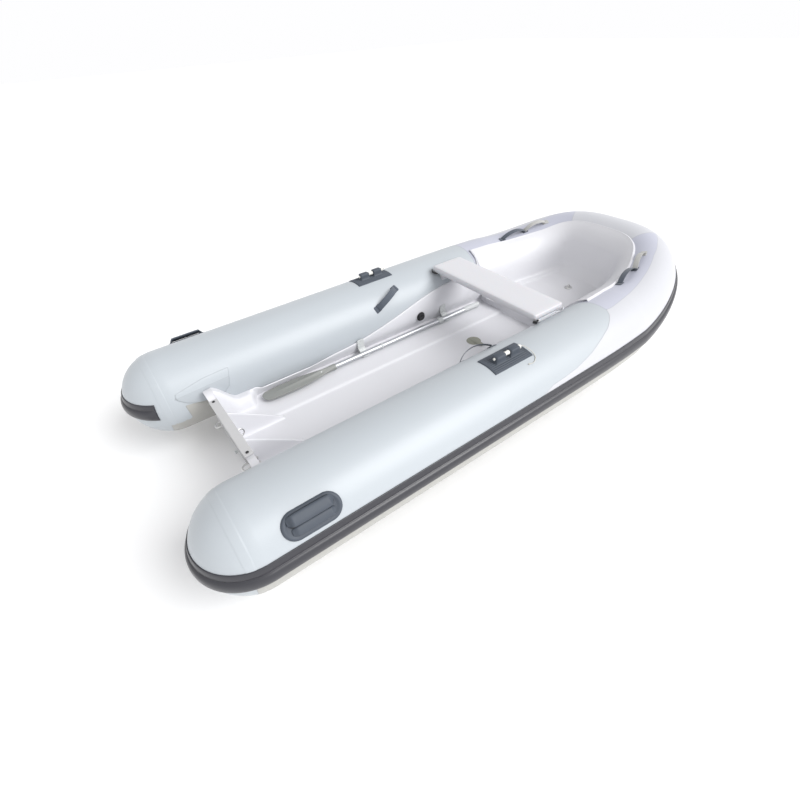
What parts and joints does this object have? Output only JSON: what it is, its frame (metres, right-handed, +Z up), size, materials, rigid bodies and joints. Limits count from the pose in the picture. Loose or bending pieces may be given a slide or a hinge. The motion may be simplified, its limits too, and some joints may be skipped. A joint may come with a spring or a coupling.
{
  "type": "inflatable dinghy",
  "caption": "Rigid-hull inflatable tender: twin air tubes joined in a blunt bow round a moulded deck, with transom, lift-off seat, oars in clips and rubbing strake.",
  "frame": {"origin": "midway along the boat's overall length, on its centre plane, at the underside of the keel band it stands on", "axes": "+X towards the bow, +Y to port, +Z up"},
  "size_m": [3.1286, 1.4646, 0.6144],
  "materials": {
    "grey_pvc": "coated fabric, satin",
    "white_pvc": "coated fabric, satin",
    "strake_rubber": "satin",
    "gelcoat": "gelcoat gloss",
    "plywood": "bare",
    "aluminium": "satin anodised",
    "light_plastic": "fine texture",
    "stainless": "polished",
    "dark_pvc": "moulded, matte",
    "white_nylon": "satin",
    "cord": "braided",
    "webbing": "woven webbing",
    "dark_plastic": "moulded",
    "seat_plastic": "satin gelcoat",
    "blade_plastic": "moulded",
    "grey_plastic": "moulded",
    "dark_rubber": "matte",
    "olive_pvc": "coated fabric"
  },
  "bodies": {
    "boat": {"bow_baffle": "grey_pvc", "bow_eye": "stainless", "bow_strap_port": "webbing", "bow_strap_starboard": "webbing", "bow_tube_port": "white_pvc", "bow_tube_starboard": "white_pvc", "carry_handle_port": "dark_pvc", "carry_handle_starboard": "dark_pvc", "cockpit_strap_port": "webbing", "cockpit_strap_starboard": "webbing", "deck_liner": "gelcoat", "drain_socket": "white_nylon", "floor_patch": "olive_pvc", "hull_shell": "gelcoat", "hull_stringers": "plywood", "keel_band": "aluminium", "motor_pad": "light_plastic", "oar_clips_port": "grey_plastic", "oar_clips_starboard": "grey_plastic", "oarlock_base_port": "dark_pvc", "oarlock_base_starboard": "dark_pvc", "rub_strake_port": "strake_rubber", "rub_strake_starboard": "strake_rubber", "side_tube_port": "grey_pvc", "side_tube_starboard": "grey_pvc", "stern_cone_port": "grey_pvc", "stern_cone_starboard": "grey_pvc", "stern_eye_port": "stainless", "stern_eye_starboard": "stainless", "transom_board": "gelcoat", "transom_cap": "light_plastic", "transom_knee_port": "gelcoat", "transom_knee_starboard": "gelcoat", "transom_ring": "stainless", "transom_screws": "stainless", "valve_body_port": "dark_plastic", "valve_body_starboard": "dark_plastic"},
    "seat": {"seat_board": "seat_plastic", "seat_bracket_port": "dark_plastic", "seat_bracket_starboard": "dark_plastic"},
    "oar_port": {"oar_blade_port": "blade_plastic", "oar_shaft_port": "aluminium", "oar_collar_port": "grey_plastic", "oar_grip_port": "dark_rubber"},
    "oarlock_pin_port_body": {"oarlock_pin_port": "white_nylon", "pin_lanyard_port": "cord", "lanyard_knot_port": "cord"},
    "valve_cap_port_body": {"valve_cap_port": "dark_plastic"},
    "valve_stem_port_body": {"valve_stem_port": "white_nylon"},
    "oar_starboard": {"oar_blade_starboard": "blade_plastic", "oar_shaft_starboard": "aluminium", "oar_collar_starboard": "grey_plastic", "oar_grip_starboard": "dark_rubber"},
    "oarlock_pin_starboard_body": {"oarlock_pin_starboard": "white_nylon", "pin_lanyard_starboard": "cord", "lanyard_knot_starboard": "cord"},
    "valve_cap_starboard_body": {"valve_cap_starboard": "dark_plastic"},
    "valve_stem_starboard_body": {"valve_stem_starboard": "white_nylon"},
    "drain_plug_body": {"drain_plug": "dark_rubber"}
  },
  "joints": [
    {"name": "seat_lift", "type": "slide", "parent": "boat", "child": "seat", "axis": [0, 0, 1], "range_m": [0, 0.2]},
    {"name": "oar_port_release", "type": "slide", "parent": "boat", "child": "oar_port", "axis": [0, -0.5736, 0.8192], "range_m": [0, 0.12]},
    {"name": "oarlock_pin_port_pull", "type": "slide", "parent": "boat", "child": "oarlock_pin_port_body", "axis": [1, 0, 0], "range_m": [0, 0.145]},
    {"name": "valve_cap_port_turn", "type": "hinge", "parent": "boat", "child": "valve_cap_port_body", "pos_m": [0.06, 0.3017, 0.274], "axis": [0, -1, 0], "range_deg": [0, 90]},
    {"name": "valve_stem_port_push", "type": "slide", "parent": "boat", "child": "valve_stem_port_body", "axis": [0, 1, 0], "range_m": [0, 0.006], "stiffness_N_per_m": 300, "springref_m": -0.002},
    {"name": "oar_starboard_release", "type": "slide", "parent": "boat", "child": "oar_starboard", "axis": [0, 0.5736, 0.8192], "range_m": [0, 0.12]},
    {"name": "oarlock_pin_starboard_pull", "type": "slide", "parent": "boat", "child": "oarlock_pin_starboard_body", "axis": [1, 0, 0], "range_m": [0, 0.145]},
    {"name": "valve_cap_starboard_turn", "type": "hinge", "parent": "boat", "child": "valve_cap_starboard_body", "pos_m": [0.06, -0.3017, 0.274], "axis": [0, 1, 0], "range_deg": [0, 90]},
    {"name": "valve_stem_starboard_push", "type": "slide", "parent": "boat", "child": "valve_stem_starboard_body", "axis": [0, -1, 0], "range_m": [0, 0.006], "stiffness_N_per_m": 300, "springref_m": -0.002},
    {"name": "drain_plug_pull", "type": "slide", "parent": "boat", "child": "drain_plug_body", "axis": [-0.9903, 0, -0.1392], "range_m": [0, 0.045]}
  ]
}
